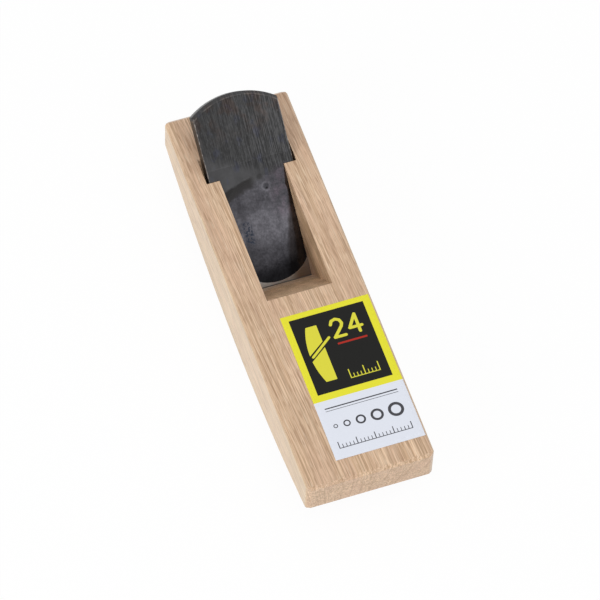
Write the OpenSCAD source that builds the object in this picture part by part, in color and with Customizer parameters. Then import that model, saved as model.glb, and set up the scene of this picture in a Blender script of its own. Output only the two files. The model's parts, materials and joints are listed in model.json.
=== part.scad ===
// Small wooden compass plane: an oak block with a sole that is round along its length, and a thick
// laminated blade held by its own taper in two grooves. X is across the block, Y runs along it
// towards the blade's head, and Z is up from the lowest line of the sole.

/* [Block] */
// Length of the block
block_l = 120; // [105:1:150]
// Width of the block
block_w = 35; // [32:1:48]
// Depth of the block where the sole is lowest
block_h = 19.5; // [17:0.5:24]
// Radius of the sole along its length
sole_r = 210; // [170:5:600]
// How far the lowest line of the sole lies from the middle, towards the near end
sole_crown = 2; // [0:0.5:6]
// Flat broken along the two long top edges
long_arris = 0.5; // [0.2:0.1:1]
// Flat broken along the two top end edges
end_arris = 0.9; // [0.3:0.1:1.5]
// Flat broken on the four upright corners
corner_arris = 1.2; // [0.3:0.1:2]
// Flat broken along the two long edges of the sole
sole_arris = 1; // [0.3:0.1:1.5]
// Flat broken on the two ends of the sole
heel_arris = 1.4; // [0.5:0.1:2.5]

/* [Throat] */
// Length of the throat at the top, from the front wall to the blade
throat_l = 40.3; // [34:0.1:46]
// Distance of the cutting edge from the near end of the block
edge_from_end = 72.5; // [66:0.1:78]
// Gap between the front lip and the cutting edge
mouth_gap = 0.7; // [0.5:0.1:1.6]
// Height of the upright front lip above the sole
lip_h = 0.9; // [0.5:0.1:2]
// Depth of each blade groove into its side wall
groove_depth = 3.6; // [2:0.1:4.5]
// Free play at each side of the blade's head
side_play = 0.7; // [0.2:0.05:0.9]
// Clearance between the blade's face and the upper wall of the grooves
wedge_gap = 0.25; // [0.08:0.01:0.3]

/* [Blade] */
// Slope of the bed
bed_angle = 35; // [33:0.5:40]
// Angle between the blade's face and its back
blade_taper = 2; // [1:0.25:3]
// Thickness that the blade would have at its edge without the bevel
edge_t = 3.5; // [2.5:0.1:4.5]
// Length of the blade along its back
blade_l = 53.1; // [48:0.1:60]
// Width of the blade at its head
head_w = 24; // [22:0.1:26]
// How much narrower the blade is at its cutting edge, before the ears are trimmed
edge_narrow = 0.4; // [0:0.1:0.8]
// Radius of the rounded head
head_r = 20.5; // [18:0.5:60]
// Flat broken round the rim of the head
head_arris = 0.9; // [0.2:0.1:1.2]
// Angle of the ground bevel to the blade's face
bevel_angle = 27; // [24:0.5:32]
// Width and height trimmed from each corner of the cutting edge
ear_trim = 2; // [1:0.1:2.4]
// Height of the cutting edge above the sole when the blade rests
edge_rise = 0.1; // [0:0.05:0.6]
// Thickness of the hard steel layer
steel_t = 1.3; // [0.9:0.1:1.8]
// Length of the hard steel layer up the face, from the cutting edge
steel_l = 34; // [30:0.5:40]

/* [Hollow] */
// Depth of the hollow ground into the blade's face
hollow_depth = 0.3; // [0.2:0.05:0.4]
// Width of the hollow
hollow_w = 20.6; // [16:0.2:21.4]
// Width of the polished land between the cutting edge and the hollow
edge_land = 0.5; // [0.4:0.1:3]
// Distance from the cutting edge to the upper end of the hollow
hollow_top = 30; // [28:0.5:33]
// Radius of the ends of the hollow, along the blade
hollow_end_r = 110; // [50:5:120]

/* [Label] */
// Width of the paper label
label_w = 24.6; // [15:0.1:27]
// Length of the paper label
label_l = 45.1; // [20:0.1:46]
// Thickness of the paper label
label_t = 0.12; // [0.05:0.01:0.3]
// Distance from the front edge of the throat to the label
label_drop = 6.15; // [2:0.05:8]
// Distance from the label to the side of the block
label_margin = 0.55; // [0.5:0.05:3]

/* [Hidden] */

// Length that a cut runs past the face it opens
over = 1;
near_y = -block_l / 2;
far_y = block_l / 2;

// Height of the sole at a place along the block
function sole_z(y) = sole_r - sqrt(pow(sole_r, 2) - pow(y + sole_crown, 2));

// The cutting edge, from which the bed, the face and the throat are laid out
edge_y = near_y + edge_from_end;
edge_z = sole_z(edge_y) + edge_rise;
face_angle = bed_angle + blade_taper;
bed_ref_y = edge_y + edge_t * sin(bed_angle);
bed_ref_z = edge_z - edge_t * cos(bed_angle);

// Where the bed, the blade's face, the grooves' upper wall and the front wall are at a height
function bed_y(z) = bed_ref_y + (z - bed_ref_z) / tan(bed_angle);
function face_y(z) = edge_y + (z - edge_z) / tan(face_angle);
function wall_y(z) = face_y(z) - wedge_gap / sin(face_angle);
lip_y = edge_y - mouth_gap;
lip_z = sole_z(lip_y) + lip_h;
front_y = face_y(block_h) - throat_l;
function front_wall_y(z) = front_y + (block_h - z) * (lip_y - front_y) / (block_h - lip_z);

groove_w = head_w + 2 * side_play;
throat_w = groove_w - 2 * groove_depth;

// Thickness of the blade at a distance up from its edge
function blade_t(s) = edge_t + s * tan(blade_taper);
edge_w = head_w - edge_narrow;
bevel_run = edge_t / tan(bevel_angle - blade_taper);
// Radius of the hollow across the blade, length of its two round ends, and where they start
hollow_side_r = (pow(hollow_w / 2, 2) + pow(hollow_depth, 2)) / (2 * hollow_depth);
hollow_end_run = sqrt(2 * hollow_end_r * hollow_depth - pow(hollow_depth, 2));
hollow_low = edge_land + hollow_end_run;
hollow_high = hollow_top - hollow_end_run;

// Smoothness of the large and the small round surfaces
$fn = 96;
large_fn = 720;

// Outline in Y and Z, carried across the block
module across(width, outline)
    rotate([90, 0, 90])
        translate([0, 0, -width / 2])
            linear_extrude(width)
                polygon(outline);

// Side outline of the block, with the ends broken above and below
module block_side()
    across(block_w, [
        [near_y, sole_z(near_y) + heel_arris],
        [near_y + heel_arris + sole_z(near_y) + over, -over],
        [far_y - heel_arris - sole_z(far_y) - over, -over],
        [far_y, sole_z(far_y) + heel_arris],
        [far_y, block_h - end_arris],
        [far_y - end_arris, block_h],
        [near_y + end_arris, block_h],
        [near_y, block_h - end_arris]
    ]);

// Cross outline of the block, with the long top edges broken
module block_section()
    translate([0, far_y, 0])
        rotate([90, 0, 0])
            linear_extrude(block_l)
                polygon([
                    [-block_w / 2, -over],
                    [block_w / 2, -over],
                    [block_w / 2, block_h - long_arris],
                    [block_w / 2 - long_arris, block_h],
                    [-block_w / 2 + long_arris, block_h],
                    [-block_w / 2, block_h - long_arris]
                ]);

// Plan of the block, with the upright corners broken
module block_plan()
    translate([0, 0, -over])
        linear_extrude(block_h + 2 * over)
            polygon([
                for (corner = [[1, 1], [-1, 1], [-1, -1], [1, -1]], swap = [0, 1])
                    let (first = (corner[0] * corner[1] > 0) ? swap : 1 - swap)
                    [
                        corner[0] * (block_w / 2 - corner_arris * first),
                        corner[1] * (block_l / 2 - corner_arris * (1 - first))
                    ]
            ]);

// Wheel whose rim is the round sole, with the two edges of the rim broken
module sole_wheel()
    translate([0, -sole_crown, sole_r])
        rotate([0, 90, 0])
            rotate_extrude($fn = large_fn)
                polygon([
                    [0, -block_w / 2],
                    [sole_r - sole_arris, -block_w / 2],
                    [sole_r, -block_w / 2 + sole_arris],
                    [sole_r, block_w / 2 - sole_arris],
                    [sole_r - sole_arris, block_w / 2],
                    [0, block_w / 2]
                ]);

// Chip space between the front wall and the bed, as wide as the cheeks leave it
module throat_cut()
    across(throat_w, [
        [front_wall_y(block_h + over), block_h + over],
        [lip_y, lip_z],
        [lip_y, -over],
        [bed_y(-over), -over],
        [bed_y(block_h + over), block_h + over]
    ]);

// Tapered slot that takes the edges of the blade
module groove_cut()
    across(groove_w, [
        [wall_y(block_h + over), block_h + over],
        [wall_y(-over), -over],
        [bed_y(-over), -over],
        [bed_y(block_h + over), block_h + over]
    ]);

module block() {
    color("burlywood")
        difference() {
            intersection() {
                block_side();
                block_section();
                block_plan();
                sole_wheel();
            }
            throat_cut();
            groove_cut();
        }
}

// Moves a shape from the blade's own frame to its place on the bed. In that frame X is across,
// Y runs up the back from the cutting edge and Z is square to the back, which lies at zero.
module on_bed()
    translate([0, bed_ref_y, bed_ref_z])
        rotate([bed_angle, 0, 0])
            children();

// Side outline of the blade: bevel, back, head and face
module blade_side()
    across(head_w, [
        [0, edge_t],
        [bevel_run, 0],
        [blade_l, 0],
        [blade_l, blade_t(blade_l)]
    ]);

// Plan of the blade: it narrows towards the edge, and its ears are trimmed
module blade_plan()
    translate([0, 0, -over])
        linear_extrude(blade_t(blade_l) + 2 * over)
            polygon([
                [-edge_w / 2 + ear_trim, 0],
                [edge_w / 2 - ear_trim, 0],
                [edge_w / 2, ear_trim],
                [head_w / 2, blade_l],
                [-head_w / 2, blade_l],
                [-edge_w / 2, ear_trim]
            ]);

// What lies outside the round head and its broken rim
module head_waste() {
    head_t = blade_t(blade_l);
    head_drop = head_r - sqrt(pow(head_r, 2) - pow(head_w / 2, 2));
    start = blade_l - head_drop - 2 * head_arris;
    difference() {
        translate([-head_w, start, -over])
            cube([2 * head_w, blade_l - start + over, head_t + 2 * over]);
        translate([0, blade_l - head_r, 0])
            rotate_extrude($fn = 4 * $fn)
                polygon([
                    [0, -2 * over],
                    [head_r, -2 * over],
                    [head_r, head_t - head_arris],
                    [head_r - head_arris - 3 * over, head_t + 3 * over],
                    [0, head_t + 3 * over]
                ]);
    }
}

// Round end of the hollow: a wheel of the end radius with a rim crowned across the blade
module hollow_end(s) {
    rim_w = hollow_w + 4 * over;
    translate([0, s, blade_t(s) + hollow_end_r - hollow_depth])
        rotate([0, 90, 0])
            rotate_extrude($fn = large_fn)
                intersection() {
                    translate([0, -rim_w / 2])
                        square([hollow_end_r, rim_w]);
                    translate([hollow_end_r - hollow_side_r, 0])
                        circle(hollow_side_r, $fn = large_fn);
                }
}

// Shallow hollow in the blade's face, round at both ends
module hollow_cut()
    translate([0, 0, edge_t])
        rotate([blade_taper, 0, 0])
            translate([0, 0, hollow_side_r - hollow_depth])
                translate([0, hollow_high, 0])
                    rotate([90, 0, 0])
                        cylinder(r = hollow_side_r, h = hollow_high - hollow_low, $fn = large_fn);

// Whole blade in its own frame
module blade_form()
    difference() {
        intersection() {
            blade_side();
            blade_plan();
        }
        head_waste();
        hollow_cut();
        hollow_end(hollow_low);
        hollow_end(hollow_high);
    }

// Space of the hard steel layer, with its upper end drawn out thin
module steel_space()
    across(2 * head_w, [
        [-over, edge_t + over],
        [-over, edge_t - steel_t - over * tan(blade_taper)],
        [steel_l - 4 * steel_t, blade_t(steel_l - 4 * steel_t) - steel_t],
        [steel_l, blade_t(steel_l)],
        [steel_l, blade_t(steel_l) + over]
    ]);

module blade_iron() {
    color([0.27, 0.27, 0.28])
        on_bed()
            difference() {
                blade_form();
                steel_space();
            }
}

module blade_steel() {
    color([0.42, 0.43, 0.45])
        on_bed()
            intersection() {
                blade_form();
                steel_space();
            }
}

module label() {
    color([0.88, 0.88, 0.24])
        translate([
            block_w / 2 - label_margin - label_w,
            front_y - label_drop - label_l,
            block_h
        ])
            cube([label_w, label_l, label_t]);
}

block();
blade_iron();
blade_steel();
label();
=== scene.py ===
"""Looks of a small wooden compass plane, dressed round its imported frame.

The oak block, the two metals of the blade and the paper label are each made here, in metres and in the
frame's own directions: X across the block, Y along it towards the blade's head, Z up from the sole.
"""

import json
import math

import bmesh
import bpy
import numpy as np
from bpy.props import FloatProperty, FloatVectorProperty, PointerProperty
from mathutils import Matrix, Vector


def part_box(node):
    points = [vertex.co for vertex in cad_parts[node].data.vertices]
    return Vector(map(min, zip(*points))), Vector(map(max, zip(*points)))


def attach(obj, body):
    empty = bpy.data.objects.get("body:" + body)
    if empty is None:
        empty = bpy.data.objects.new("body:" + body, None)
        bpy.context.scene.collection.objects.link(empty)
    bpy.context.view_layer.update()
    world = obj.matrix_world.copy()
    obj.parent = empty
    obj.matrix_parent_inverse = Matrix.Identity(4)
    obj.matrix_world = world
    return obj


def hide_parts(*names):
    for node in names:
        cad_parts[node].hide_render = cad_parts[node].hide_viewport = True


bl_info = {
    "name": "Compass plane",
    "version": (1, 0, 0),
    "blender": (4, 5, 0),
    "location": "3D View > Sidebar > Compass plane",
    "description": "Oak block, laminated blade and label of a small wooden compass plane",
    "category": "Add Mesh",
}

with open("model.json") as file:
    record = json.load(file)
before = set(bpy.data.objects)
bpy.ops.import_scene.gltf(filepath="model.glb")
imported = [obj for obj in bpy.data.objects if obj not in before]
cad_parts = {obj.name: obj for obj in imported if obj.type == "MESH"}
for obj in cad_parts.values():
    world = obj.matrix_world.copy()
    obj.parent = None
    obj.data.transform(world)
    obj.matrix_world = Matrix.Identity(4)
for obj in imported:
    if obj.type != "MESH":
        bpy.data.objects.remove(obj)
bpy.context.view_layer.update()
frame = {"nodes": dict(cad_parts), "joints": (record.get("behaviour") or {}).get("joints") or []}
MM = 0.001


def node_points(name):
    """Corners of a CAD node, one row each."""
    mesh = frame["nodes"][name].data
    points = np.empty(3 * len(mesh.vertices))
    mesh.vertices.foreach_get("co", points)
    return points.reshape(-1, 3)


_, BLOCK_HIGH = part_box("block")
LABEL_LOW, LABEL_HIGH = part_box("label")

# The blade's own directions: x across it, s up its back from the cutting edge, n square to its back
ACROSS = np.array([1.0, 0.0, 0.0])
ALONG = np.array(frame["joints"][0]["axis"])
SQUARE = np.cross(ACROSS, ALONG)
BLADE_POINTS = np.vstack([node_points("blade_iron"), node_points("blade_steel")])
EDGE_S = (BLADE_POINTS @ ALONG).min()
BACK_N = (BLADE_POINTS @ SQUARE).min()
BLADE_ORIGIN = EDGE_S * ALONG + BACK_N * SQUARE
BLADE_LENGTH = (BLADE_POINTS @ ALONG).max() - EDGE_S
HEAD_WIDTH = np.ptp(BLADE_POINTS[:, 0])
EDGE_HEIGHT = (BLADE_POINTS[(BLADE_POINTS @ ALONG).argmin()] @ SQUARE) - BACK_N
BED_SLOPE = math.atan2(ALONG[2], ALONG[1])

# How far apart the rows and columns of each grid are, and how many of them follow a rounded rim
IRON_STEP = 0.3 * MM
STEEL_STEP = 0.22 * MM
LABEL_STEP = 1.2 * MM
RIM_ROWS = 5

# Points closer than this are joined, on the grids and on the frame's block
GRID_WELD = 0.5e-6
BLOCK_WELD = 1e-6

# Faces of the block that meet at less than this become one, and edges sharper than this are rubbed round
FLAT_ANGLE = math.radians(0.5)
SHARP_ANGLE = math.radians(12)

# Length of the steel's drawn-out upper end, as a multiple of its thickness
STEEL_DRAW = 4

# A round dent in the hollow, in millimetres: its place, the radius of its pit, and the radius and width of
# the lip round it; then its depth, and the height of the lip as a share of that
DENT = (3.0, 26.4)
DENT_PIT = 0.6
DENT_RING = 1.15
DENT_RING_WIDTH = 0.3
DENT_DEPTH = 0.045 * MM
DENT_LIP = 0.15

# A dark stain beside it, in millimetres, and the line where the hollow's colour ends: its height at the
# middle, and its slope
STAIN = (1.8, 29.3)
HOLLOW_LINE = (27.3, 0.30)

# Left border of the painted dark brown reflection of the right wall in the hollow: a point of it, in
# millimetres, and its slope
WALL_REFLECTION = (5.3, 10.8, 0.24)

# A string of dark spots in the hollow: its middle, and the distances from it, across and along, from which
# the spots begin and at which they are full
SPOTS = (-4.7, 15.3)
SPOTS_ACROSS = (1.7, 0.8)
SPOTS_ALONG = (3.9, 2.6)

# Stretches of the hollow's painted reflection and shade, in millimetres: along it, where it brightens from
# its dark lower end and where it darkens again, and across it, where it brightens from its painted shade on
# the left side
BRIGHTENS_ALONG = (8.5, 15.5)
DARKENS_ALONG = (17, 23)
BRIGHTENS_ACROSS = (-5.5, -1.5)

# Stretches up the blade, in millimetres, where the file lines, the brown cloud of the head and the bright
# wear of the long edges, with its painted highlight, begin
FILED = (31.0, 36.0)
BROWNED = (38, 49)
EDGES_WORN_AND_LIT = (26, 30)

# Distances from the middle of the block, in millimetres, between which the wood turns to smooth end grain,
# and between which the long sides turn paler with a painted sheen
END_GRAIN = (BLOCK_HIGH[1] / MM - 0.6, BLOCK_HIGH[1] / MM - 0.1)
SIDE_WOOD = (BLOCK_HIGH[0] / MM - 0.4, BLOCK_HIGH[0] / MM - 0.1)

# Distance from the pith, in millimetres, at which a turn round it is measured as a length
RAY_RADIUS = 45.0

# The chiselled wood of the throat and the grooves, which is darkened as painted shade, in millimetres: half
# its width, the middle and half the length of the stretch it lies in, the heights between which it begins,
# and its depth under the top face
CUT_HALF_WIDTH = HEAD_WIDTH / 2 / MM + 1.0
CUT_MIDDLE = BLADE_ORIGIN[1] / MM + 6.0
CUT_HALF_LENGTH = 31.0
CUT_LOW = (4.2, 7.0)
CUT_DEPTH = (0.1, 0.4)

# Height of the label's bordered upper part, and the widths of the border round its panel, in millimetres
BORDERED_HEIGHT = 27.4
BORDER_LEFT = 1.85
BORDER_RIGHT = 2.05
BORDER_LOW = 2.0
BORDER_HIGH = 1.65

# The point of the block's top face that the camera looks at
AIM = (-0.000717, -0.005068, BLOCK_HIGH[2])

# The floor: how far it reaches, its grey level, and the darker level under the mouth, painted as shadow,
# where no plain white is added on a stretch with this middle and half length
FLOOR_REACH = 0.9
FLOOR_GREY = 0.92
MOUTH_SHADOW_GREY = 0.25
MOUTH_MIDDLE = BLADE_ORIGIN[1] + 1 * MM
MOUTH_HALF_LENGTH = 7 * MM

# Place of each lamp, and the side of its square
KEY_PLACE = (-1.05, -0.40, 0.55)
KEY_SIDE = 0.45
TOP_PLACE = (0.1, -0.35, 1.15)
TOP_SIDE = 0.8

# Dark gap in the light: its middle's height over the horizon and its turn from the near side to the right,
# and the distances from the middle at which it is still full and has ended
GAP_HEIGHT = math.radians(66)
GAP_TURN = math.radians(16)
GAP_INNER = math.radians(16)
GAP_OUTER = math.radians(19.5)


def length(name, description, default):
    """A size in metres, shown in the scene's units."""
    return FloatProperty(
        name=name, description=description, default=default, min=0.0,
        subtype="DISTANCE", unit="LENGTH", precision=5,
    )


def angle(name, description, degrees):
    """An angle, shown in degrees."""
    return FloatProperty(
        name=name, description=description, default=math.radians(degrees),
        subtype="ANGLE", unit="ROTATION",
    )


def colour(name, description, default):
    """A colour, as it is lit by plain white light."""
    return FloatVectorProperty(
        name=name, description=description, default=default, subtype="COLOR", size=3, min=0.0, max=1.0,
    )


def tint(name, description, default):
    """A factor for each of the three colours."""
    return FloatVectorProperty(name=name, description=description, default=default, size=3, min=0.0)


class BlockSettings(bpy.types.PropertyGroup):
    """Finish of the oak block."""

    edge_round: length("Edge rounding", "How far the sharp edges are rubbed round", 0.00018)
    pith_across: FloatProperty(
        name="Pith across", description="Where the heart of the tree lies, across the block",
        default=-0.011, subtype="DISTANCE", unit="LENGTH",
    )
    pith_below: length("Pith below", "How far the heart of the tree lies under the sole", 0.028)
    ring_width: length("Ring width", "Width of one year's growth", 0.0026)
    slant: FloatProperty(
        name="Slant", description="How far the grain runs across the block for its length", default=0.045,
    )
    light: colour("Light oak", "Colour of the light streaks", (0.74, 0.535, 0.365))
    dark: colour("Dark oak", "Colour of the dark streaks", (0.49, 0.32, 0.195))
    pink: colour("Pink oak", "Colour of the pink patches", (0.64, 0.43, 0.30))
    pale: colour("Pale oak", "Colour of the finest pale fibres", (0.80, 0.64, 0.47))
    pore: colour("Pores", "Colour of the open pores and rays", (0.32, 0.18, 0.10))
    # Painted sheen: the long sides are paler and yellower
    side_sheen_tint: tint("Side tint", "How much paler and yellower the long sides are", (1.04, 1.10, 1.07))
    # Painted shade in the throat and the grooves
    throat_shade_tint: tint("Throat tint", "How much browner the chiselled wood is", (0.88, 0.87, 0.82))


class BladeSettings(bpy.types.PropertyGroup):
    """Shape and finish of the blade. Its length, head width and edge come from the frame."""

    taper: angle("Taper", "Angle between the blade's face and its back", 2.0)
    edge_width: length("Edge width", "Width at the cutting edge before the ears are trimmed", 0.0236)
    head_radius: length("Head radius", "Radius of the rounded head", 0.0205)
    head_arris: length("Head arris", "Flat broken round the rim of the head", 0.0009)
    side_arris: length("Side arris", "Rounding of the long edges of the face", 0.00022)
    bevel_angle: angle("Bevel angle", "Angle of the ground bevel to the face", 27.0)
    ear_trim: length("Ear trim", "Width and height trimmed from each corner of the edge", 0.002)
    steel_thickness: length("Steel thickness", "Thickness of the hard steel layer", 0.0013)
    steel_length: length("Steel length", "Length of the hard steel layer up the face", 0.034)
    hollow_depth: length("Hollow depth", "Depth of the hollow ground into the face", 0.0003)
    hollow_width: length("Hollow width", "Width of the hollow", 0.0206)
    edge_land: length("Land", "Polished width between the cutting edge and the hollow", 0.0005)
    hollow_top: length("Hollow top", "Distance from the edge to the upper end of the hollow", 0.030)
    hollow_low_radius: length("Hollow low radius", "Radius of the hollow's lower end, along the blade", 0.110)
    hollow_high_radius: length("Hollow high radius", "Radius of the hollow's upper end, along it", 0.250)
    skin: colour("Black skin", "Colour of the forged and filed face", (0.055, 0.055, 0.056))
    skin_light: colour("Filed skin", "Colour of the file lines on the face", (0.120, 0.120, 0.123))
    plain: colour("Plain skin", "Colour of the smooth band above the hollow", (0.118, 0.117, 0.121))
    # Painted shadow low on the forged sides
    flank_shading: colour("Flank", "Colour of the forged sides", (0.020, 0.016, 0.014))
    forge_scale: colour("Scale", "Colour of the scaly back", (0.05, 0.044, 0.042))
    # Real rubbing on the head's rim, and a painted highlight along the long edges
    rub_and_highlight: colour("Rubbed edges", "Colour of the edges that are rubbed bright", (0.42, 0.38, 0.35))
    streak: colour("Dark streak", "Colour of the streak along the top of the hollow", (0.038, 0.036, 0.036))
    hollow: colour("Hollow", "Colour of the ground hollow", (0.138, 0.134, 0.150))
    spot: colour("Spots", "Colour of the string of dark spots", (0.026, 0.034, 0.050))
    # Painted shade at the bottom of the dent
    pit: colour("Dent", "Colour at the bottom of the dent", (0.045, 0.045, 0.052))
    bright: colour("Bright steel", "Colour of the polished land and bevel", (0.58, 0.57, 0.56))
    brown_tint: tint("Brown tint", "How brown the skin turns near the head", (1.06, 0.84, 0.75))
    blue_tint: tint("Blue tint", "How blue the skin turns in patches", (0.90, 0.94, 1.20))
    rosy_tint: tint("Rosy tint", "How rosy the hollow turns in patches", (1.12, 0.93, 1.0))
    # Painted dark reflection of the right wall, on the right of the hollow
    wall_reflection_tint: tint("Wall_reflection", "How dark and brown the right of the hollow is", (0.40, 0.36, 0.33))
    # Painted reflections on the land: the dark brown right wall on its right, and a painted highlight on its
    # left
    land_wall_reflection: tint("Land tarnish", "How dark and brown the right of the land is", (0.48, 0.40, 0.35))
    land_highlight: tint("Land glare", "How bright the left of the land is", (1.3, 1.35, 1.4))


class LabelSettings(bpy.types.PropertyGroup):
    """Print of the paper label."""

    border: colour("Border", "Colour of the wide border", (0.79, 0.75, 0.045))
    panel: colour("Panel", "Colour of the dark panel", (0.016, 0.016, 0.015))
    figure: colour("Figures", "Colour of the figures on the panel", (0.72, 0.68, 0.06))
    paper: colour("Paper", "Colour of the unprinted part", (0.75, 0.78, 0.86))
    ink: colour("Ink", "Colour of the print on the paper", (0.07, 0.07, 0.08))
    mark: colour("Mark", "Colour of the short bar under the number", (0.42, 0.03, 0.02))


class StageSettings(bpy.types.PropertyGroup):
    """Camera and light."""

    azimuth: angle("Azimuth", "Turn of the camera round the object from straight ahead", -21.4018)
    elevation: angle("Elevation", "Height of the camera over the horizon", 58.4781)
    roll: angle("Roll", "Turn of the camera about its own line of sight", 2.9017)
    distance: length("Distance", "From the camera to the point it looks at", 1.0812)
    focal_length: FloatProperty(
        name="Lens", description="Focal length on a 36 mm sensor, in mm", default=245.62,
    )
    white: FloatProperty(name="White floor", description="Share of plain white in the floor", default=0.95)
    world: FloatProperty(name="Soft light", description="Strength of the light from all round", default=0.68)
    gap: FloatProperty(name="Gap", description="How dark the gap in the light overhead is", default=0.82)
    key: FloatProperty(name="Key light", description="Power of the lamp on the left, in W", default=5.0)
    fill: FloatProperty(name="Top light", description="Power of the lamp overhead, in W", default=3.0)


def new_object(name, points, faces):
    """An object at the origin whose mesh holds these points and faces."""
    mesh = bpy.data.meshes.new(name)
    mesh.from_pydata(points, [], faces)
    made = bpy.data.objects.new(name, mesh)
    bpy.context.scene.collection.objects.link(made)
    return made


def weld(made, gap, flat=None):
    """Joins points closer than gap. Where flat is given, faces that meet at less than it become one."""
    work = bmesh.new()
    work.from_mesh(made.data)
    bmesh.ops.remove_doubles(work, verts=work.verts, dist=gap)
    if flat:
        bmesh.ops.dissolve_limit(work, angle_limit=flat, verts=work.verts, edges=work.edges)
    work.to_mesh(made.data)
    work.free()


def even_stations(span, rim, step):
    """Places from 0 to span: on a cosine inside the rim at each end, evenly a step apart between."""
    ease = rim * (1 - np.cos(np.linspace(0, math.pi / 2, RIM_ROWS + 1)[:-1]))
    middle = np.linspace(rim, span - rim, max(2, round((span - 2 * rim) / step)))
    return np.concatenate([ease, middle, (span - ease)[::-1]])


def slab(name, first, second, low, high, place):
    """Closed solid between two height fields over one grid of plan points.

    first and second are grids of the plan's two coordinates. The upper field becomes a grid of quads, the
    lower field the same grid turned over, and a wall of quads joins their borders. place turns plan
    coordinates and a height into points of the frame.
    """
    rows, columns = first.shape
    count = rows * columns
    index = np.arange(count).reshape(rows, columns)
    corners = [index[:-1, :-1], index[:-1, 1:], index[1:, 1:], index[1:, :-1]]
    cells = np.stack(corners, -1).reshape(-1, 4)
    ring = np.concatenate([index[0, :-1], index[:-1, -1], index[-1, :0:-1], index[:0:-1, 0]])
    after = np.roll(ring, -1)
    wall = np.stack([ring, after, after + count, ring + count], -1)
    faces = np.concatenate([cells[:, ::-1], cells + count, wall])
    lower = place(first, second, low).reshape(-1, 3)
    upper = place(first, second, high).reshape(-1, 3)
    made = new_object(name, np.concatenate([lower, upper]), faces)
    weld(made, GRID_WELD)
    made.data.shade_smooth()
    return made


def round_off(distance, radius):
    """Drop of a rounded edge: a quarter circle of the radius, for the distance in from the outline."""
    inside = np.clip(1 - distance / radius, 0, 1)
    return radius * (1 - np.sqrt(1 - inside**2))


def in_blade(x, s, n):
    """Points of the frame for places in the blade's own directions."""
    return BLADE_ORIGIN + x[..., None] * ACROSS + s[..., None] * ALONG + n[..., None] * SQUARE


class BladeShape:
    """Outline, faces and layers of the blade as functions of x and s."""

    def __init__(self, sizes):
        self.sizes = sizes
        self.bevel_run = EDGE_HEIGHT / math.tan(sizes.bevel_angle - sizes.taper)
        self.side_radius = (
            ((sizes.hollow_width / 2) ** 2 + sizes.hollow_depth**2) / (2 * sizes.hollow_depth)
        )
        self.hollow_low = sizes.edge_land + self.run(sizes.hollow_low_radius)
        self.hollow_high = sizes.hollow_top - self.run(sizes.hollow_high_radius)

    def run(self, end_radius):
        """Length over which a round end of the hollow comes up to the face."""
        depth = self.sizes.hollow_depth
        return math.sqrt(2 * end_radius * depth - depth**2)

    def face(self, s):
        """Height of the face over the back: it rises evenly by the taper."""
        return EDGE_HEIGHT + s * math.tan(self.sizes.taper)

    def half_width(self, s):
        """Half the width: it grows evenly to the head, and falls at 45 degrees in the trimmed ears."""
        sizes = self.sizes
        grown = (s - sizes.ear_trim) / (BLADE_LENGTH - sizes.ear_trim)
        straight = (sizes.edge_width + (HEAD_WIDTH - sizes.edge_width) * grown) / 2
        return np.minimum(straight, sizes.edge_width / 2 - sizes.ear_trim + s)

    def head(self, x):
        """Distance of the rounded head from the edge: an arc of the head radius."""
        return BLADE_LENGTH - self.sizes.head_radius + np.sqrt(self.sizes.head_radius**2 - x**2)

    def head_gap(self, x, s):
        """Distance in from the rounded head."""
        centre = BLADE_LENGTH - self.sizes.head_radius
        return self.sizes.head_radius - np.hypot(x, np.maximum(s - centre, 0))

    def bevel(self, s):
        """Height of the bevel, and of the back where the bevel has run out."""
        return np.maximum(EDGE_HEIGHT * (1 - s / self.bevel_run), 0)

    def steel(self, s):
        """Thickness of the hard steel, drawn out evenly to nothing at its upper end."""
        drawn = (self.sizes.steel_length - s) / (STEEL_DRAW * self.sizes.steel_thickness)
        return self.sizes.steel_thickness * np.clip(drawn, 0, 1)

    def hollow(self, x, s):
        """Depth of the hollow: an arc across the blade, with each end swept on its own radius."""
        sizes = self.sizes
        crown = self.side_radius - np.sqrt(self.side_radius**2 - x**2)
        below = np.maximum(self.hollow_low - s, 0)
        above = np.maximum(s - self.hollow_high, 0)
        radius = np.where(below > 0, sizes.hollow_low_radius, sizes.hollow_high_radius)
        swept = np.sqrt(np.maximum((radius - crown) ** 2 - (below + above) ** 2, 0))
        return np.maximum(swept - radius + sizes.hollow_depth, 0)

    def dent(self, x, s):
        """A small round dent with a raised lip: two bell curves of the distance from its middle."""
        away = np.hypot(x - DENT[0] * MM, s - DENT[1] * MM)
        pit = DENT_DEPTH * np.exp(-((away / (DENT_PIT * MM)) ** 2))
        lip = DENT_LIP * DENT_DEPTH * np.exp(-(((away - DENT_RING * MM) / (DENT_RING_WIDTH * MM)) ** 2))
        return pit - lip


def blade_grid(shape, start, end, step):
    """Plan grid of the blade from start to end, which may be a function of x.

    Rows run across. Each row keeps the same shares of its own width, and each column the same shares
    of its own length.
    """
    sizes = shape.sizes
    share = even_stations(1.0, sizes.side_arris / HEAD_WIDTH, step / HEAD_WIDTH)
    run = even_stations(1.0, sizes.head_arris / BLADE_LENGTH, step / BLADE_LENGTH)
    run, share = np.meshgrid(run, share, indexing="ij")
    reach = end if callable(end) else (lambda x: end + 0 * x)
    x = (2 * share - 1) * HEAD_WIDTH / 2

    # A row's width depends on its place and a column's length on its own, so a few rounds settle both
    for _ in range(4):
        s = start + run * (reach(x) - start)
        x = (2 * share - 1) * shape.half_width(s)
    return x, s


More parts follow.
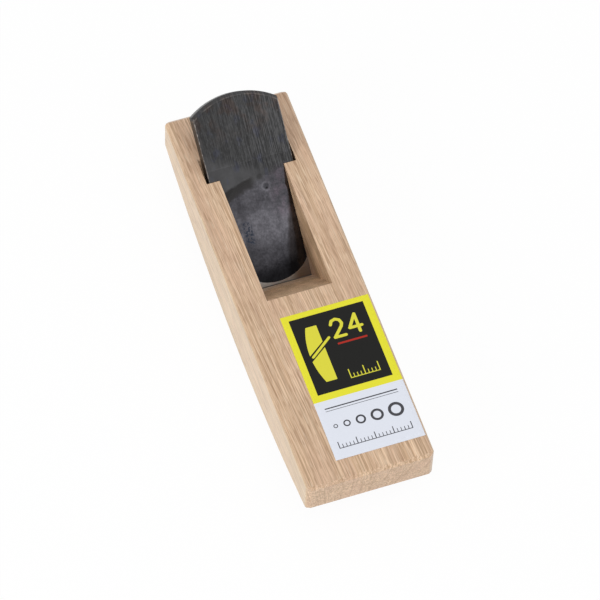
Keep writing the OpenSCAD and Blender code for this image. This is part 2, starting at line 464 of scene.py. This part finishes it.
class Wire:
    """One socket of a material's node tree, or the bare tree. Sums and products of wires add Math nodes."""

    def __init__(self, tree, socket=None):
        self.tree = tree
        self.socket = socket

    def add(self, kind, settings=None, sockets=None, out=0):
        """Adds a node of this kind, sets it up, then gives its sockets values or wires."""
        node = self.tree.nodes.new("ShaderNode" + kind)
        for name, value in (settings or {}).items():
            setattr(node, name, value)
        for key, value in (sockets or {}).items():
            if isinstance(value, Wire):
                self.tree.links.new(value.socket, node.inputs[key])
            else:
                node.inputs[key].default_value = value
        return Wire(self.tree, node.outputs[out])

    def math(self, operation, *values, clamp=False):
        """A Math node on these values."""
        return self.add("Math", {"operation": operation, "use_clamp": clamp}, dict(enumerate(values)))

    def __add__(self, other):
        return self.math("ADD", self, other)

    __radd__ = __add__

    def __sub__(self, other):
        return self.math("SUBTRACT", self, other)

    def __rsub__(self, other):
        return self.math("SUBTRACT", other, self)

    def __mul__(self, other):
        return self.math("MULTIPLY", self, other)

    __rmul__ = __mul__

    def __truediv__(self, other):
        return self.math("DIVIDE", self, other)

    def __lt__(self, other):
        return self.math("LESS_THAN", self, other)

    def __abs__(self):
        return self.math("ABSOLUTE", self)

    def hypot(self, other):
        """Distance from a point, for the distances from it along two axes."""
        return self.math("SQRT", self * self + other * other)

    def or_(self, other):
        """The larger of two masks."""
        return self.math("MAXIMUM", self, other)

    def smooth(self, low, high):
        """0 below low, 1 above high, and an S curve between. High may be the smaller."""
        return self.add(
            "MapRange", {"interpolation_type": "SMOOTHSTEP"},
            {"Value": self, "From Min": low, "From Max": high},
        )

    def blend(self, first, second):
        """Colour that goes from the first to the second as this value goes from 0 to 1."""
        return self.add(
            "Mix", {"data_type": "RGBA"}, {"Factor": self, 6: as_colour(first), 7: as_colour(second)}, out=2
        )

    def spread(self, first, second):
        """Colour that goes from the first to the second over the middle levels of this noise."""
        return self.smooth(0.3, 0.7).blend(first, second)

    def tinted(self, other, factor=1.0):
        """This colour multiplied by another."""
        return self.add(
            "Mix", {"data_type": "RGBA", "blend_type": "MULTIPLY"},
            {"Factor": factor, 6: self, 7: as_colour(other)}, out=2,
        )

    def parts(self):
        """The three coordinates of a vector."""
        separated = self.add("SeparateXYZ", sockets={0: self})
        return [Wire(self.tree, socket) for socket in separated.socket.node.outputs]

    def dot(self, direction):
        """Share of this vector that lies along a direction."""
        return self.add("VectorMath", {"operation": "DOT_PRODUCT"}, {0: self, 1: direction}, out="Value")

    def vector(self, x, y, z):
        """A vector of three values."""
        return self.add("CombineXYZ", sockets={0: x, 1: y, 2: z})

    def noise(self, cell, detail=2.0, roughness=0.5):
        """Smooth noise, from 0 to 1, whose lumps have this size along each axis of the vector."""
        scaled = self.add("Mapping", sockets={"Vector": self, "Scale": [1 / size for size in cell]})
        return self.add(
            "TexNoise", sockets={"Vector": scaled, "Scale": 1.0, "Detail": detail, "Roughness": roughness}
        )

    def flecks(self, cell, low, high):
        """Mask of separate flecks of this size: noise that passes from the low level to the high one."""
        return self.noise(cell, 1.0).smooth(low, high)


def as_colour(value):
    """A colour or grey level as four numbers. A wire stays a wire."""
    if isinstance(value, Wire):
        return value
    if isinstance(value, (int, float)):
        return (value, value, value, 1.0)
    return (*value, 1.0)


def scaled_colour(factor, value):
    """A colour times a factor."""
    return [factor * part for part in value]


def new_material(name):
    """A material with an empty tree and its output, the bare tree as a wire, and the output node."""
    material = bpy.data.materials.new(name)
    material.use_nodes = True
    tree = material.node_tree
    tree.nodes.clear()
    output = tree.nodes.new("ShaderNodeOutputMaterial")
    return material, Wire(tree), output


def finish_surface(start, output, constants, paint, rough, height, depth):
    """Puts a Principled surface on the output: its constant sockets, colour, roughness, and a bump."""
    bump = start.add("Bump", sockets={"Strength": 1.0, "Distance": depth, "Height": height})
    varying = {"Base Color": paint, "Roughness": rough, "Normal": bump}
    shader = start.add("BsdfPrincipled", sockets={**constants, **varying})
    start.tree.links.new(shader.socket, output.inputs["Surface"])


def millimetres(start, origin=(0.0, 0.0, 0.0), turn=(0.0, 0.0, 0.0)):
    """Object coordinates in millimetres from an origin, in directions turned with it."""
    place = start.add("TexCoord", out="Object")
    return place.add(
        "Mapping", {"vector_type": "TEXTURE"},
        {"Vector": place, "Location": origin, "Rotation": turn, "Scale": (MM, MM, MM)},
    )


def oak_material(settings):
    """Planed oak. Its fibres and pores lie along the tree, and its rays go out from the pith."""
    material, start, output = new_material("Planed oak")
    place = millimetres(start)
    x, along, z = place.parts()
    wander = (place.noise((30, 110, 30), 1.0) - 0.5) * 1.6
    across = x + along * settings.slant + wander
    out_x = across - settings.pith_across / MM
    out_z = z + settings.pith_below / MM
    radius = out_x.hypot(out_z)
    turned = start.math("ARCTAN2", out_x, out_z) * RAY_RADIUS
    sides = abs(x).smooth(*SIDE_WOOD)
    fibre = start.vector(across * (1 - sides * 0.8), along, z)
    ray_space = start.vector(turned, along, radius)

    streak = fibre.noise((0.5, 38, 0.5), 3.0, 0.62)
    broad = fibre.noise((4.5, 90, 4.5), 1.0)
    rosy = fibre.noise((5, 40, 5), 1.0)
    year = start.math("FRACT", radius / (settings.ring_width / MM) + broad * 0.8)
    late = year.smooth(0.55, 0.95) * year.smooth(1.0, 0.95)
    thread = fibre.noise((0.3, 16, 0.3), 1.0)
    pores = fibre.flecks((0.26, 4.0, 0.26), 0.57, 0.67)
    bright = fibre.flecks((0.30, 7.0, 0.30), 0.60, 0.70)
    rays = ray_space.flecks((0.32, 8.0, 12.0), 0.57, 0.68)
    cut_across = abs(along).smooth(*END_GRAIN)
    deep = z.smooth(*CUT_LOW) * (BLOCK_HIGH[2] / MM - z).smooth(*CUT_DEPTH)
    chiselled = deep * (abs(x) < CUT_HALF_WIDTH) * (abs(along - CUT_MIDDLE) < CUT_HALF_LENGTH)

    tone = streak.smooth(0.34, 0.64)
    # The streaks of the long sides are evened out, part of their painted sheen
    wood = (tone + sides * (0.6 - tone) * 0.4).blend(settings.dark, settings.light)
    wood = (rosy.smooth(0.4, 0.65) * 0.55).blend(wood, settings.pink)
    wood = wood.tinted(broad.spread(0.96, 1.04))
    wood = wood.tinted(thread.spread(0.86, 1.13))
    wood = (late * 0.22).blend(wood, settings.dark)
    wood = (bright * 0.5).blend(wood, settings.pale)
    wood = (pores * (0.40 - cut_across * 0.20)).blend(wood, settings.pore)
    wood = (rays * (0.50 - cut_across * 0.15 - sides * 0.30)).blend(wood, settings.pore)
    # Painted sheen on the long sides
    wood = sides.blend(wood, wood.tinted(settings.side_sheen_tint))
    patch = place.noise((4, 9, 4), 1.0).spread(0.86, 1.13)
    # Painted shade: the chiselled throat and grooves are darker and browner, with random patches
    wood = chiselled.blend(wood, wood.tinted(settings.throat_shade_tint).tinted(patch))
    height = (streak * 0.4 - pores * 0.6 - rays * 0.25) * (1 - cut_across * 0.85)
    rough = 0.30 + streak * 0.05 + chiselled * 0.3
    finish_surface(start, output, {"IOR": 1.45}, wood, rough, height, 0.02 * MM)
    return material


def blade_place(start):
    """Coordinates in the blade's own directions, in millimetres."""
    return millimetres(start, tuple(BLADE_ORIGIN), (BED_SLOPE, 0.0, 0.0))


def filed_skin(place, settings, shape):
    """Black skin, filed lengthwise and rubbed bright along its rim, with a painted highlight along its long
    edges and painted shadow low on its sides: its colour, roughness and height.
    """
    x, s, n = place.parts()
    fine = place.noise((0.28, 6, 4), 2.0, 0.6)
    coarse = place.noise((0.8, 9, 6), 1.0)
    grit = place.noise((0.5, 1.1, 0.8), 2.0, 0.6)
    cloud = place.noise((4, 5, 6), 3.0, 0.6)
    blue = place.noise((2.5, 4, 5), 2.0)
    worn = (x + cloud * 10).smooth(-5, 14)
    filed = (s + x * 0.42 + coarse * 3.0).smooth(*FILED)
    lines = (fine.smooth(0.40, 0.62) * (0.35 + worn * 0.65)).or_(grit.smooth(0.62, 0.75) * 0.6)
    metal = lines.blend(settings.skin, settings.skin_light)
    metal = metal.tinted(grit.spread(0.84, 1.16))
    plain = cloud.spread(scaled_colour(0.75, settings.plain), settings.plain)
    metal = filed.blend(plain, metal)
    brown = cloud.smooth(0.46, 0.62) * s.smooth(*BROWNED) * 0.8
    metal = brown.blend(metal, metal.tinted(settings.brown_tint))
    metal = (blue.smooth(0.56, 0.7) * 0.7).blend(metal, metal.tinted(settings.blue_tint))

    # The rim of the head, the thin line inside it, and the two long edges, which are rubbed bright in places
    # and carry a painted highlight
    centre = (BLADE_LENGTH - settings.head_radius) / MM
    beyond = place.math("MAXIMUM", s - centre, 0.0)
    head_gap = settings.head_radius / MM - x.hypot(beyond)
    arris = settings.head_arris / MM
    inner_line = head_gap.smooth(arris - 0.25, arris) * head_gap.smooth(arris + 0.3, arris + 0.05)
    inside = shape.half_width(BLADE_LENGTH / 2) / MM - abs(x)
    below = EDGE_HEIGHT / MM + s * math.tan(settings.taper) - n
    flank_shading = inside.smooth(0.25, 0.05)
    # Painted highlight along the long edges, flecked where they are rubbed
    line = flank_shading * below.smooth(0.55, 0.35) * s.smooth(*EDGES_WORN_AND_LIT) * (0.12 + grit.smooth(0.42, 0.62) * 0.6)
    # Painted shadow: the sides darken further below the face
    metal = (flank_shading * below.smooth(0.4, 0.7) * 0.75).blend(metal, settings.flank_shading)
    rub_and_highlight = (inner_line * cloud.smooth(0.35, 0.6) * coarse.smooth(0.25, 0.6) * 0.25).or_(line)
    metal = rub_and_highlight.blend(metal, settings.rub_and_highlight)
    rim = head_gap.smooth(arris, arris - 0.3) * 0.5
    metal = rim.blend(metal, settings.skin)
    return metal, 0.30 + filed * 0.05 + fine * filed * 0.15, filed * (fine * 0.8 + grit * 0.5)


def bevel_mask(s, n, shape):
    """1 on the ground bevel: where the height over the back is that of the bevel's plane."""
    run = shape.bevel_run / MM
    plane = EDGE_HEIGHT / MM * (1 - s / run)
    return abs(n - plane).smooth(0.08, 0.04) * s.smooth(run, run - 0.1)


def ground_metal(place, polish, depth):
    """Metal ground across: fine scratches on a colour, the darkest of them darker by this share."""
    return place.noise((9, 0.09, 3), 2.0, 0.6).spread(scaled_colour(1 - depth, polish), polish)


def iron_material(settings, shape):
    """Forged soft iron: filed face, scaly back and ground bevel."""
    material, start, output = new_material("Forged soft iron")
    place = blade_place(start)
    _, s, n = place.parts()
    metal, rough, height = filed_skin(place, settings, shape)
    scale = place.noise((1.6, 2.2, 1.6), 4.0, 0.6)
    back = n.smooth(0.7, 0.5)
    metal = (back * scale.smooth(0.35, 0.7)).blend(metal, settings.forge_scale)
    bevel = bevel_mask(s, n, shape)
    metal = bevel.blend(metal, ground_metal(place, scaled_colour(0.7, settings.bright), 0.3))
    rough = rough + bevel * (0.3 - rough)
    height = (height + back * scale * 3.0) * (1 - bevel)
    finish_surface(start, output, {"Metallic": 0.9}, metal, rough, height, 0.012 * MM)
    return material


def hollow_colour(x, s, cloud, speck, wobble, settings):
    """Dull ground steel: cloudy, with painted reflection and shade that leave it brightest in its middle, a
    painted dark reflection on its right, dark spots and a dent.
    """
    hollow = cloud.spread(scaled_colour(0.72, settings.hollow), scaled_colour(1.22, settings.hollow))
    hollow = hollow.tinted(speck.smooth(0.3, 0.75).blend(0.80, 1.20))
    # Painted reflection and shade: darker towards the hollow's lower end, its upper end and its left side
    hollow = hollow.tinted((s + wobble).smooth(*BRIGHTENS_ALONG).blend(0.46, 1.08))
    hollow = hollow.tinted((s + wobble).smooth(*DARKENS_ALONG).blend(1.0, 0.62))
    hollow = hollow.tinted((x + wobble).smooth(*BRIGHTENS_ACROSS).blend(0.78, 1.0))
    # Painted dark brown reflection of the right wall, on the right of the hollow
    wall_reflection = (x - WALL_REFLECTION[0] - (s - WALL_REFLECTION[1]) * WALL_REFLECTION[2] + wobble * 0.4).smooth(-0.5, 0.8)
    hollow = hollow.tinted(settings.wall_reflection_tint, wall_reflection)
    rosy = x.smooth(2, 6) * s.smooth(15, 20) * cloud.smooth(0.4, 0.6)
    hollow = (rosy * 0.6).blend(hollow, hollow.tinted(settings.rosy_tint))
    spots = abs(x - SPOTS[0]).smooth(*SPOTS_ACROSS) * abs(s - SPOTS[1]).smooth(*SPOTS_ALONG)
    hollow = (spots * speck.smooth(0.47, 0.53) * 0.9).blend(hollow, settings.spot)
    # Painted highlight on the dent's lip and painted shade in its pit
    away = (x - DENT[0]).hypot(s - DENT[1])
    ring = abs(away - DENT_RING).smooth(0.38, 0.1)
    hollow = (ring * 0.7).blend(hollow, hollow.tinted(1.5))
    return (away.smooth(0.95, 0.5) * 0.65).blend(hollow, settings.pit)


def steel_material(settings, shape):
    """Hard steel: dull ground hollow, polished land and bevel, and a skin that is filed above the hollow."""
    material, start, output = new_material("Hard steel")
    place = blade_place(start)
    x, s, n = place.parts()
    skin, skin_rough, skin_height = filed_skin(place, settings, shape)
    cloud = place.noise((2.4, 3.0, 3), 4.0, 0.7)
    speck = place.noise((0.55, 0.65, 0.6), 2.0, 0.7)
    wobble = (place.noise((3, 2.5, 3), 2.0) - 0.5) * 2.5

    # The hollow as it is cut: an arc across, with its lower end swept on the end radius
    past = start.math("MAXIMUM", shape.hollow_low / MM - s, 0.0)
    depth = settings.hollow_depth / MM - x * x / (2 * shape.side_radius / MM)
    depth = depth - past * past / (2 * settings.hollow_low_radius / MM)
    inside = depth.smooth(0.0, 0.01)
    above = s - HOLLOW_LINE[0] - x * HOLLOW_LINE[1] - wobble
    ground = inside * above.smooth(2.0, 0.0)
    land = (1 - inside) * s.smooth(8.0, 4.0)

    metal = ground.blend(skin, hollow_colour(x, s, cloud, speck, wobble, settings))
    stain = (x - STAIN[0]).hypot(s - STAIN[1]).smooth(1.2, 0.4)
    metal = (stain * 0.6).blend(metal, settings.streak)
    streak = abs(above - 1.4).smooth(1.9, 0.9) * x.smooth(1.0, -1.5)
    metal = (streak * 0.9).blend(metal, settings.streak)
    bevel = bevel_mask(s, n, shape)
    polished = land.or_(bevel)
    metal = polished.blend(metal, ground_metal(place, settings.bright, 0.2))
    # Painted reflections on the land: the dark brown right wall on its right, and a painted highlight on its
    # left
    metal = (land * x.smooth(3.0, 6.0)).blend(metal, metal.tinted(settings.land_wall_reflection))
    metal = (land * x.smooth(2.0, -4.0)).blend(metal, metal.tinted(settings.land_highlight))

    rough = skin_rough + ground * (0.05 + cloud * 0.06 - skin_rough)
    rough = rough + polished * (0.28 - rough)
    height = skin_height + ground * (cloud * 0.6 + speck * 0.2)
    finish_surface(start, output, {"Metallic": 1.0}, metal, rough, height, 0.014 * MM)
    return material


class Sheet:
    """Figures of the label's print, as masks over its width u and its height v in millimetres."""

    def __init__(self, u, v):
        self.u = u
        self.v = v

    def bar(self, left, low, right, high):
        """A filled rectangle."""
        wide = abs(self.u - (left + right) / 2) < (right - left) / 2
        tall = abs(self.v - (low + high) / 2) < (high - low) / 2
        return wide * tall

    def disc(self, u, v, radius):
        """A filled circle."""
        away_u, away_v = self.u - u, self.v - v
        return away_u * away_u + away_v * away_v < radius * radius

    def stroke(self, start, end, line):
        """A line with round ends: what is closer than half its width to the stretch between two points."""
        run_u, run_v = end[0] - start[0], end[1] - start[1]
        from_u, from_v = self.u - start[0], self.v - start[1]
        reach = run_u * run_u + run_v * run_v
        share = from_u.math(
            "ADD", from_u * (run_u / reach), from_v * (run_v / reach), clamp=True
        )
        off_u, off_v = from_u - share * run_u, from_v - share * run_v
        return off_u * off_u + off_v * off_v < line * line / 4

    def strokes(self, points, line):
        """A chain of lines."""
        mask = self.stroke(points[0], points[1], line)
        for start, end in zip(points[1:], points[2:]):
            mask = mask.or_(self.stroke(start, end, line))
        return mask

    def ticks(self, left, low, right, high, step, line):
        """Upright ticks, a step apart."""
        phase = self.u.math("PINGPONG", self.u - left, step / 2)
        return self.bar(left - line / 2, low, right + line / 2, high) * (phase < line / 2)

    def scale(self, left, right, low, foot, rows):
        """A scale: rows of ticks, each with its height, step and line, on a foot of this thickness."""
        mask = self.bar(left - 0.1, low - foot, right + 0.1, low)
        for height, step, line in rows:
            mask = mask.or_(self.ticks(left, low, right, low + height, step, line))
        return mask


def two(left, low, height):
    """Points of a figure 2: a half circle, a slope down to the left and a foot."""
    radius = 0.28 * height
    bend = [math.radians(a) for a in (175, 130, 85, 40, -5, -40)]
    top = [
        (left + radius * (1 + math.cos(a)), low + height - radius * (1 - math.sin(a))) for a in bend
    ]
    return [*top, (left, low), (left + 2 * radius, low)]


def four(left, low, height):
    """Points of a figure 4: a slope, a bar and a post."""
    wide = 0.62 * height
    post = left + 0.72 * wide
    return [(left + wide, low + 0.3 * height), (left, low + 0.3 * height), (post, low + height), (post, low)]


def plane_figure(sheet, middle):
    """Side view of a plane set upright: a straight top, a round sole, and a sloping blade in a wider gap."""
    top, half_length, depth, bulge = 8.4, 8.6, 4.6, 1.6
    sole = top - depth
    radius = (half_length**2 + bulge**2) / (2 * bulge)
    body = sheet.bar(sole, middle - half_length, top, middle + half_length)
    body = body * sheet.disc(sole + radius, middle, radius)
    gap = sheet.stroke((sole - 0.4, middle - 1.2), (top + 2.4, middle + 4.2), 1.5)
    blade = sheet.stroke((sole + 0.7, middle - 0.5), (top + 2.0, middle + 4.0), 0.7)
    return (body * (1 - gap)).or_(blade)


def panel_print(sheet, low, high):
    """Masks of the figures on the panel, which are a plane, a number and a scale, and of the mark."""
    left, right, number_low, number_high, line = 12.0, 20.0, high - 8.4, 5.4, 0.85
    figures = plane_figure(sheet, (low + high) / 2)
    figures = figures.or_(sheet.strokes(two(left, number_low, number_high), line))
    figures = figures.or_(sheet.strokes(four(left + 4.6, number_low, number_high), line))
    figures = figures.or_(sheet.scale(left, right, low + 2.6, 0.25, ((1.1, 1.0, 0.22), (2.6, 4.0, 0.28))))
    mark = sheet.bar(left, number_low - 2.3, right + 0.2, number_low - 1.75)
    return figures, mark


def paper_print(sheet, high):
    """Mask of the print on the paper: a double rule, a row of growing rings, and a scale."""
    left, right, ring_middle, hole = 2.2, 22.2, high - 8.0, 0.62
    ink = sheet.bar(left, high - 2.6, right, high - 2.25).or_(sheet.bar(left, high - 3.3, right, high - 3.15))
    for step, across in enumerate((3.3, 6.4, 10.2, 14.7, 19.9)):
        radius = 0.6 + 0.38 * step
        ring = sheet.disc(across, ring_middle, radius) * (1 - sheet.disc(across, ring_middle, hole * radius))
        ink = ink.or_(ring)
    return ink.or_(sheet.scale(left, right, 3.2, 0.22, ((1.0, 1.0, 0.2), (1.9, 5.0, 0.26))))


def label_material(settings):
    """Coated paper with a plain generic print: a bordered dark panel over a part of bare paper."""
    material, start, output = new_material("Printed paper")
    place = millimetres(start, tuple(LABEL_LOW))
    u, v, _ = place.parts()
    sheet = Sheet(u, v)
    wide, tall = [(LABEL_HIGH[k] - LABEL_LOW[k]) / MM for k in (0, 1)]
    split = tall - BORDERED_HEIGHT
    panel_low, panel_high = split + BORDER_LOW, tall - BORDER_HIGH
    border = sheet.bar(-1, split, wide + 1, tall + 1)
    panel = sheet.bar(BORDER_LEFT, panel_low, wide - BORDER_RIGHT, panel_high)
    figures, mark = panel_print(sheet, panel_low, panel_high)
    ink = paper_print(sheet, split)

    fibre = place.noise((0.35, 0.35, 0.35), 3.0, 0.6)
    printed = border.blend(ink.blend(settings.paper, settings.ink), settings.border)
    printed = panel.blend(printed, settings.panel)
    printed = (panel * figures).blend(printed, settings.figure)
    printed = mark.blend(printed, settings.mark)
    printed = printed.tinted(fibre.blend(0.96, 1.03))
    constants = {"IOR": 1.45, "Specular IOR Level": 0.1}
    finish_surface(start, output, constants, printed, 0.34 + fibre * 0.16, fibre, 0.004 * MM)
    return material


class COMPASS_OT_block(bpy.types.Operator):
    """Makes the oak block: the frame's own block, its faces made whole and its edges rubbed round"""

    bl_idname = "compass.block"
    bl_label = "Oak block"

    def execute(self, context):
        settings = context.scene.compass_block
        mesh = frame["nodes"]["block"].data
        triangles = np.empty(3 * len(mesh.loop_triangles), int)
        mesh.loop_triangles.foreach_get("vertices", triangles)
        block = new_object("oak_block", node_points("block"), triangles.reshape(-1, 3))
        weld(block, BLOCK_WELD, FLAT_ANGLE)
        block.data.shade_smooth()
        rub_and_highlight = block.modifiers.new("Rubbed edges", "BEVEL")
        rub_and_highlight.width = settings.edge_round
        rub_and_highlight.segments = 3
        rub_and_highlight.limit_method = "ANGLE"
        rub_and_highlight.angle_limit = SHARP_ANGLE
        rub_and_highlight.harden_normals = True
        block.data.materials.append(oak_material(settings))
        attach(block, "stock")
        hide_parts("block")
        return {"FINISHED"}


class COMPASS_OT_blade(bpy.types.Operator):
    """Makes the laminated blade: the forged iron body and the hard steel layer on its face"""

    bl_idname = "compass.blade"
    bl_label = "Laminated blade"

    def execute(self, context):
        settings = context.scene.compass_blade
        shape = BladeShape(settings)
        iron = self.iron(shape)
        iron.data.materials.append(iron_material(settings, shape))
        steel = self.steel(shape)
        steel.data.materials.append(steel_material(settings, shape))
        for piece, node, slot in ((iron, "blade_iron", "soft_iron"), (steel, "blade_steel", "hard_steel")):
            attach(piece, "blade")
            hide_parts(node)
        return {"FINISHED"}

    def iron(self, shape):
        """Iron body: from the bevel to the rounded head, under the steel and up to the face beyond it."""
        sizes = shape.sizes
        start = sizes.steel_thickness / (EDGE_HEIGHT / shape.bevel_run + math.tan(sizes.taper))
        x, s = blade_grid(shape, start, shape.head, IRON_STEP)
        side = shape.half_width(s) - np.abs(x)
        rim = np.maximum(sizes.head_arris - shape.head_gap(x, s), 0)
        drop = np.maximum(round_off(side, sizes.side_arris), rim)
        high = shape.face(s) - np.maximum(drop, shape.steel(s))
        low = shape.bevel(s) + round_off(side, sizes.side_arris) * (s > shape.bevel_run)
        return slab("iron_body", x, s, np.minimum(low, high), high, in_blade)

    def steel(self, shape):
        """Steel layer: from the cutting edge up the face, with the hollow and the dent in it.

        The rounding of its long edges takes at most half of its thickness.
        """
        sizes = shape.sizes
        x, s = blade_grid(shape, 0.0, sizes.steel_length, STEEL_STEP)
        side = shape.half_width(s) - np.abs(x)
        low = np.maximum(shape.bevel(s), shape.face(s) - shape.steel(s))
        rim = np.minimum(round_off(side, sizes.side_arris), 0.5 * (shape.face(s) - low))
        high = shape.face(s) - np.maximum(rim, shape.hollow(x, s)) - shape.dent(x, s)
        return slab("steel_face", x, s, low, np.maximum(high, low), in_blade)


class COMPASS_OT_label(bpy.types.Operator):
    """Makes the printed paper label on the top face"""

    bl_idname = "compass.label"
    bl_label = "Paper label"

    def execute(self, context):
        wide, tall, thick = LABEL_HIGH - LABEL_LOW
        cut = 0.5 * thick
        u = LABEL_LOW[0] + even_stations(wide, cut, LABEL_STEP)
        v = LABEL_LOW[1] + even_stations(tall, cut, LABEL_STEP)
        v, u = np.meshgrid(v, u, indexing="ij")
        inside = np.minimum.reduce([u - LABEL_LOW[0], LABEL_HIGH[0] - u, v - LABEL_LOW[1], LABEL_HIGH[1] - v])
        high = LABEL_HIGH[2] - round_off(inside, cut)
        low = np.full_like(high, LABEL_LOW[2])
        label = slab("paper_label", u, v, low, high, lambda x, y, z: np.stack([x, y, z], -1))
        label.data.materials.append(label_material(context.scene.compass_label))
        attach(label, "stock")
        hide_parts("label")
        return {"FINISHED"}


class COMPASS_OT_stage(bpy.types.Operator):
    """Sets the camera, the pale floor and the soft light"""

    bl_idname = "compass.stage"
    bl_label = "Camera, floor and light"

    def execute(self, context):
        settings = context.scene.compass_stage
        self.camera(context.scene, settings)
        self.floor(settings)
        self.world(context.scene, settings)
        self.lamp("Key light", settings.key, KEY_PLACE, KEY_SIDE)
        self.lamp("Top light", settings.fill, TOP_PLACE, TOP_SIDE)
        context.scene.view_settings.view_transform = "Standard"
        return {"FINISHED"}

    def camera(self, scene, settings):
        """Puts the camera at the photograph's angle, with its own small roll."""
        turn = (
            Matrix.Rotation(settings.azimuth, 4, "Z")
            @ Matrix.Rotation(math.pi / 2 - settings.elevation, 4, "X")
            @ Matrix.Rotation(settings.roll, 4, "Z")
        )
        back = Matrix.Translation((0, 0, settings.distance))
        data = bpy.data.cameras.new("Camera")
        data.lens = settings.focal_length
        data.clip_start = 0.05
        camera = bpy.data.objects.new("Camera", data)
        camera.matrix_world = Matrix.Translation(Vector(AIM)) @ turn @ back
        scene.collection.objects.link(camera)
        scene.camera = camera

    def floor(self, settings):
        """A pale floor that keeps the shadow, with plain white added where it is seen, and a darker grey
        painted as shadow under the mouth.
        """
        corners = [(FLOOR_REACH * x, FLOOR_REACH * y, 0) for x, y in ((-1, -1), (1, -1), (1, 1), (-1, 1))]
        floor = new_object("Floor", corners, [(0, 1, 2, 3)])
        material, start, output = new_material("Pale floor")
        x, y, _ = start.add("TexCoord", out="Object").parts()
        covered = (abs(x) < HEAD_WIDTH / 2) * (abs(y - MOUTH_MIDDLE) < MOUTH_HALF_LENGTH)
        # Under the mouth the floor is a darker grey as painted shadow, and gets no plain white
        lit = start.add("BsdfDiffuse", sockets={"Color": covered.blend(FLOOR_GREY, MOUTH_SHADOW_GREY)})
        white = start.add("Emission", sockets={"Color": as_colour(1.0), "Strength": 1.0})
        seen = seen_rays(start) * (1 - covered) * settings.white
        mixed = start.add("MixShader", sockets={0: seen, 1: lit, 2: white})
        start.tree.links.new(mixed.socket, output.inputs["Surface"])
        floor.data.materials.append(material)

    def world(self, scene, settings):
        """Even light from all round, seen as plain white, with a dark gap overhead that only gloss shows."""
        world = bpy.data.worlds.new("Studio")
        world.use_nodes = True
        tree = world.node_tree
        tree.nodes.clear()
        start = Wire(tree)
        level = math.cos(GAP_HEIGHT)
        middle = (level * math.sin(GAP_TURN), -level * math.cos(GAP_TURN), math.sin(GAP_HEIGHT))
        towards = start.add("TexCoord", out="Generated").dot(middle)
        gap = towards.smooth(math.cos(GAP_OUTER), math.cos(GAP_INNER))
        shown = start.add("LightPath", out="Is Glossy Ray") * gap * settings.gap
        strength = settings.world + seen_rays(start) * (1 - settings.world) - shown
        light = start.add("Background", sockets={"Color": as_colour(1.0), "Strength": strength})
        output = tree.nodes.new("ShaderNodeOutputWorld")
        tree.links.new(light.socket, output.inputs["Surface"])
        scene.world = world

    def lamp(self, name, power, place, side):
        """A square soft lamp that faces the block and isn't seen in gloss."""
        data = bpy.data.lights.new(name, "AREA")
        data.energy = power
        data.size = side
        lamp = bpy.data.objects.new(name, data)
        lamp.location = place
        lamp.rotation_euler = Vector(place).to_track_quat("Z", "Y").to_euler()
        lamp.visible_glossy = False
        bpy.context.scene.collection.objects.link(lamp)


def seen_rays(start):
    """1 for rays that come from the camera or by way of a mirror or glass, and 0 for the rest."""
    kinds = ("Is Camera Ray", "Is Glossy Ray", "Is Transmission Ray")
    camera, glossy, through = [start.add("LightPath", out=kind) for kind in kinds]
    return start.math("MINIMUM", camera + glossy + through, 1.0)


class COMPASS_PT_panel(bpy.types.Panel):
    """Lists the pieces of the plane and their settings"""

    bl_label = "Compass plane"
    bl_idname = "COMPASS_PT_panel"
    bl_space_type = "VIEW_3D"
    bl_region_type = "UI"
    bl_category = "Compass plane"

    def draw(self, context):
        for operator, name, group in STEPS:
            box = self.layout.box()
            box.operator(operator.bl_idname)
            for setting in group.__annotations__:
                box.prop(getattr(context.scene, name), setting)


# Each operator, with the name and the class of its settings
STEPS = (
    (COMPASS_OT_stage, "compass_stage", StageSettings),
    (COMPASS_OT_block, "compass_block", BlockSettings),
    (COMPASS_OT_blade, "compass_blade", BladeSettings),
    (COMPASS_OT_label, "compass_label", LabelSettings),
)


def register():
    """Makes the settings, operators and panel known to Blender."""
    for operator, name, group in STEPS:
        bpy.utils.register_class(group)
        setattr(bpy.types.Scene, name, PointerProperty(type=group))
        bpy.utils.register_class(operator)
    bpy.utils.register_class(COMPASS_PT_panel)


def unregister():
    """Takes the panel, operators and settings out again."""
    bpy.utils.unregister_class(COMPASS_PT_panel)
    for operator, name, group in reversed(STEPS):
        bpy.utils.unregister_class(operator)
        delattr(bpy.types.Scene, name)
        bpy.utils.unregister_class(group)


def main():
    """Makes every piece in order."""
    register()
    bpy.ops.compass.stage()
    bpy.ops.compass.block()
    bpy.ops.compass.blade()
    bpy.ops.compass.label()


if __name__ == "__main__":
    main()
